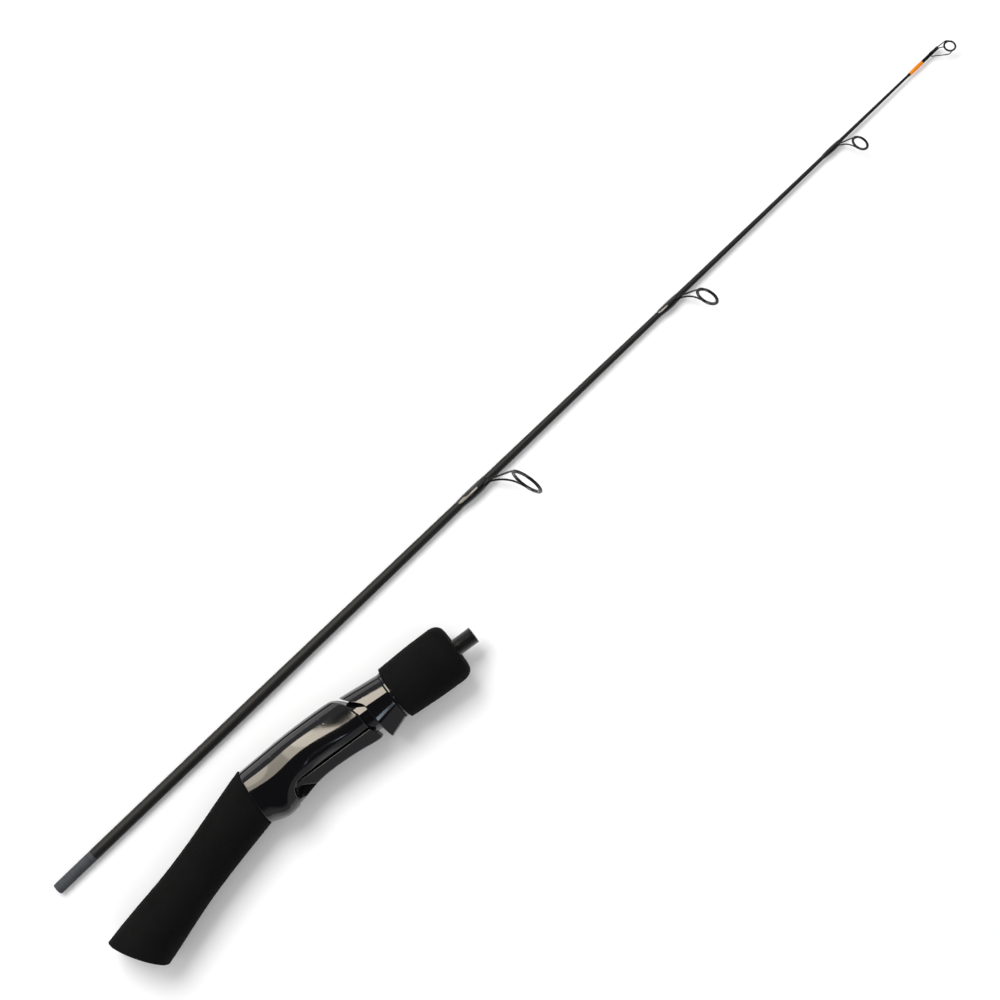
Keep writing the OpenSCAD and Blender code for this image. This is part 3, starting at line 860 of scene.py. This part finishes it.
def make_barrel():
    """Barrel that the hood slides on, with its thread and keyway."""
    front, thread_back, back = -22, -42, -70
    pitch, crest, key_wide, key_deep, end_step = 2, 0.5, 3, 1, 0.4
    sides = 160
    a = np.arange(sides) * 2 * math.pi / sides
    cosine, sine = np.cos(a), np.sin(a)
    rings = []
    for x in np.concatenate([np.arange(back, thread_back, 1.0), np.arange(thread_back, front + 0.01, 0.2)]):
        phase = ((x - thread_back) / pitch - a / (2 * math.pi)) % 1
        ridge = np.clip(1.5 - np.abs(phase - 0.5) * 5, 0, 1)
        fade = np.clip(min(x - thread_back, front - x) / 1.5, 0, 1)
        r = BARREL_R - crest * (1 - ridge) * fade - (end_step if x > front - 0.3 else 0)
        in_key = (cosine > 0) & (np.abs(r * sine) < key_wide / 2)
        r = np.where(in_key, (BARREL_R - key_deep) / np.maximum(cosine, 0.5), r)
        rings.append(np.stack([np.full(sides, x), r * cosine, r * sine], 1))
    piece("barrel_thread", loft(rings), HANDLE, "handle", SEAT_GLOSS, sharp=30)


def make_socket():
    """Socket tube, open at its front end for the butt of the blank."""
    tube_r, bore, depth, back = 4.0, 2.8, 60, -101
    outline = rounded([(-depth, 0, 0), (-depth, bore, 0), (0, bore, 0.12), (0, tube_r, 0.3),
                       (back, tube_r, 0)])
    piece("socket_tube_shell", revolve(outline + [(back, 0)], 72), HANDLE, "handle", TUBE_GLOSS,
          ["socket_tube"])


# ---------------------------------------------------------------- foam grips

FORE_FRONT, FORE_LEN = -10.1, 34.6
FORE_BACK = FORE_FRONT - FORE_LEN
FORE_R = 14.1
REAR_LEN = 89
REAR_R = through([(-8, 13.3), (9, 12.95), (23, 12.4), (41, 12.0), (58, 12.4), (70, 13.2),
                  (82, 13.9), (94, 14.3)])


def ground(points, normals, depth, scale):
    """Unevenness that grinding leaves on foam, as real shape."""
    bumps = [noise.fractal(Vector(p) * scale, 0.7, 2.2, 4, noise_basis="PERLIN_ORIGINAL") for p in points]
    return points + normals * np.array(bumps)[:, None] * depth


def soft_piece(name, part, matrix, body, stands_for):
    """A foam piece: made slightly uneven, as ground foam is."""
    obj = piece(name, part, matrix, body, FOAM, stands_for, sharp=180)
    mesh = obj.data
    co = np.zeros(len(mesh.vertices) * 3)
    mesh.vertices.foreach_get("co", co)
    co = co.reshape(-1, 3)
    normals = np.array([v.normal for v in mesh.vertices])
    co = ground(co, normals, 0.07 * MM, 0.7 / MM)
    mesh.vertices.foreach_set("co", co.ravel())
    mesh.update()


def make_fore_grip():
    """Foam sleeve, bored from behind for the nut and the barrel and in front for the socket tube."""
    corner_depth, corner_len, edge, rear_r = 4.4, 5.8, 0.35, 13.15
    nut_r, nut_front, bore_r = 11.02, FORE_BACK + 20.5, BARREL_R + 0.5
    tube_hole, wall_back = 4.3, FORE_FRONT - 6.5
    side = through([(FORE_BACK, rear_r), (FORE_BACK + 8, 13.6), (FORE_BACK + 17.5, 14.0),
                    (FORE_FRONT - 6, FORE_R)])
    outline = [(FORE_BACK, nut_r)]
    outline += [(FORE_BACK + edge * (1 - math.cos(a)), rear_r - edge * (1 - math.sin(a)))
                for a in np.linspace(0, math.pi / 2, 5)]
    outline += [(x, float(side(x))) for x in np.arange(FORE_BACK + 1, FORE_FRONT - 6, 0.6)]
    outline += [(FORE_FRONT - corner_len * (1 - math.sin(a)), FORE_R - corner_depth * (1 - math.cos(a)))
                for a in np.linspace(0, math.pi / 2, 16)]
    outline += [(FORE_FRONT - 0.05, 8.0), (FORE_FRONT - 0.1, 6.5), (FORE_FRONT - 0.25, 5.1)]
    outline += [(FORE_FRONT - 0.6, tube_hole), (wall_back, tube_hole), (wall_back, bore_r),
                (nut_front, bore_r), (nut_front, nut_r)]
    part = revolve(spaced(outline, 0.8), 180, closed=True)
    soft_piece("fore_grip_foam", part, HANDLE, "nut", ["fore_grip"])


def make_rear_grip():
    """Foam body between its slanted joint with the seat and its slanted butt."""
    front_slant = -math.tan(REAR_BEND + SEAT_TILT)
    butt_slant = math.tan(math.radians(16.7))
    sides, rim, mean_r = 176, 0.9, 13.0
    a = np.arange(sides) * 2 * math.pi / sides
    cosine, sine = np.cos(a), np.sin(a)

    def ring(share, scale=1.0, sink=0.0):
        """Ring at a share of the length, shrunk towards the axis by scale and shifted along it by sink."""
        r = np.full(sides, mean_r)
        for _ in range(3):
            x0, x1 = front_slant * r * cosine * scale, REAR_LEN + butt_slant * r * cosine * scale
            x = x0 + (x1 - x0) * share
            r = REAR_R(x)
        return np.stack([x + sink, r * scale * cosine, r * scale * sine], 1)

    def rim_ring(share, bend, inwards):
        """Ring of the rounded rim at an end of the body."""
        return ring(share, 1 - rim / mean_r * (1 - math.sin(bend)), inwards * rim * (1 - math.cos(bend)))

    bends = np.linspace(0, math.pi / 2, 5)
    rings = [ring(0, s) for s in np.linspace(0.02, 0.94, 14)]
    rings += [rim_ring(0, b, 1) for b in bends]
    rings += [ring(t) for t in np.linspace(0, 1, 170)[3:-3]]
    rings += [rim_ring(1, b, -1) for b in bends[::-1]]
    rings += [ring(1, s) for s in np.linspace(0.94, 0.02, 18)]
    soft_piece("rear_grip_foam", loft(rings), GRIP, "handle", ["rear_grip"])


# ---------------------------------------------------------------- CAD nodes that stay


def finish_nodes():
    """Gives looks to the inner nodes, which keep their CAD shapes."""
    for name, look, slot in (("lock_nut", NUT, "nut_plastic"), ("tube_bush_front", BUSH, "bush"),
                             ("tube_bush_rear", BUSH, "bush"), ("grip_core", BUSH, "bush")):
        node = frame["nodes"][name]
        node.data.materials.clear()
        node.data.materials.append(look)


# ---------------------------------------------------------------- light, floor and camera


def make_world():
    """White fill for shade, and for reflections a room with pale walls and a dark ceiling."""
    world = bpy.data.worlds.new("studio")
    bpy.context.scene.world = world
    world.use_nodes = True
    tree = world.node_tree
    tree.nodes.clear()
    new, link = tree.nodes.new, tree.links.new
    out, mix = new("ShaderNodeOutputWorld"), new("ShaderNodeMixShader")
    walls, fill = new("ShaderNodeBackground"), new("ShaderNodeBackground")
    place, split = new("ShaderNodeTexCoord"), new("ShaderNodeSeparateXYZ")
    shades, path = new("ShaderNodeValToRGB"), new("ShaderNodeLightPath")
    link(place.outputs["Generated"], split.inputs[0])
    link(split.outputs["Z"], shades.inputs["Fac"])
    pale, dark = shades.color_ramp.elements
    pale.position, pale.color = 0.45, (0.42, 0.42, 0.44, 1)
    dark.position, dark.color = 0.72, (0.02, 0.02, 0.022, 1)
    link(shades.outputs[0], walls.inputs["Color"])
    fill.inputs["Color"].default_value = (1, 1, 1, 1)
    fill.inputs["Strength"].default_value = 0.72
    link(path.outputs["Is Glossy Ray"], mix.inputs["Fac"])
    link(fill.outputs[0], mix.inputs[1])
    link(walls.outputs[0], mix.inputs[2])
    link(mix.outputs[0], out.inputs["Surface"])


def make_floor():
    white, whiter, half = (0.9, 0.9, 0.9), (0.915, 0.915, 0.915), 6.0
    look = Look("table", white, 0.6, Specular_IOR_Level=0.2)
    look.colour(look.mix(look.between(look.noise(3, 2), 0.3, 0.7), white, whiter))
    mesh = bpy.data.meshes.new("table")
    corners = [(-half, -half, 0), (half, -half, 0), (half, half, 0), (-half, half, 0)]
    mesh.from_pydata(corners, [], [(0, 1, 2, 3)])
    mesh.materials.append(look.material)
    floor = bpy.data.objects.new("table", mesh)
    bpy.context.scene.collection.objects.link(floor)


def lamp(name, tilt, x, size, brightness, colour):
    """Area light at 1.5 m, tilt degrees from the zenith towards +Y, of a brightness in W/m2/sr."""
    a, far = math.radians(tilt), 1.5
    where = Vector((x, far * math.sin(a), far * math.cos(a)))
    data = bpy.data.lights.new(name, "AREA")
    data.shape, data.size, data.size_y = "RECTANGLE", size[0], size[1]
    data.energy, data.color = brightness * math.pi * size[0] * size[1], colour
    obj = bpy.data.objects.new(name, data)
    obj.location = where
    obj.rotation_euler = (Vector((x, 0, 0)) - where).to_track_quat("-Z", "Y").to_euler()
    bpy.context.scene.collection.objects.link(obj)
    return obj


def make_lights():
    """A neutral soft key for shade and shadow, and softboxes that only glossy surfaces show."""
    lamp("key", 35, 0, (0.8, 0.7), 10, (1, 1, 1)).visible_glossy = False
    warm, cool = (1.0, 0.91, 0.76), (0.72, 0.84, 1.0)
    for softbox in (lamp("warm_rear", 43, -0.62, (0.54, 1.2), 5.5, warm),
                    lamp("warm_middle", 43, -0.275, (0.15, 1.2), 9, warm),
                    lamp("warm_front", 43, -0.07, (0.26, 1.2), 13, warm),
                    lamp("cool", -10, -0.2, (0.08, 0.14), 6, cool)):
        softbox.visible_diffuse = False


def make_camera():
    data = bpy.data.cameras.new("camera")
    data.lens, data.sensor_width = 94.7, 36
    camera = bpy.data.objects.new("camera", data)
    camera.location = (-0.0120, 0.0172, 1.210)
    camera.rotation_euler = (0, 0, math.radians(-43.74))
    bpy.context.scene.collection.objects.link(camera)
    bpy.context.scene.camera = camera


make_camera()
make_floor()
make_world()
make_lights()
bpy.context.scene.view_settings.view_transform = "Standard"

make_blank()
for guide in GUIDES:
    guide.make()
make_tip_top()
make_tip_wraps()
make_seat()
make_hood()
make_collar()
make_barrel()
make_socket()
make_fore_grip()
make_rear_grip()
finish_nodes()
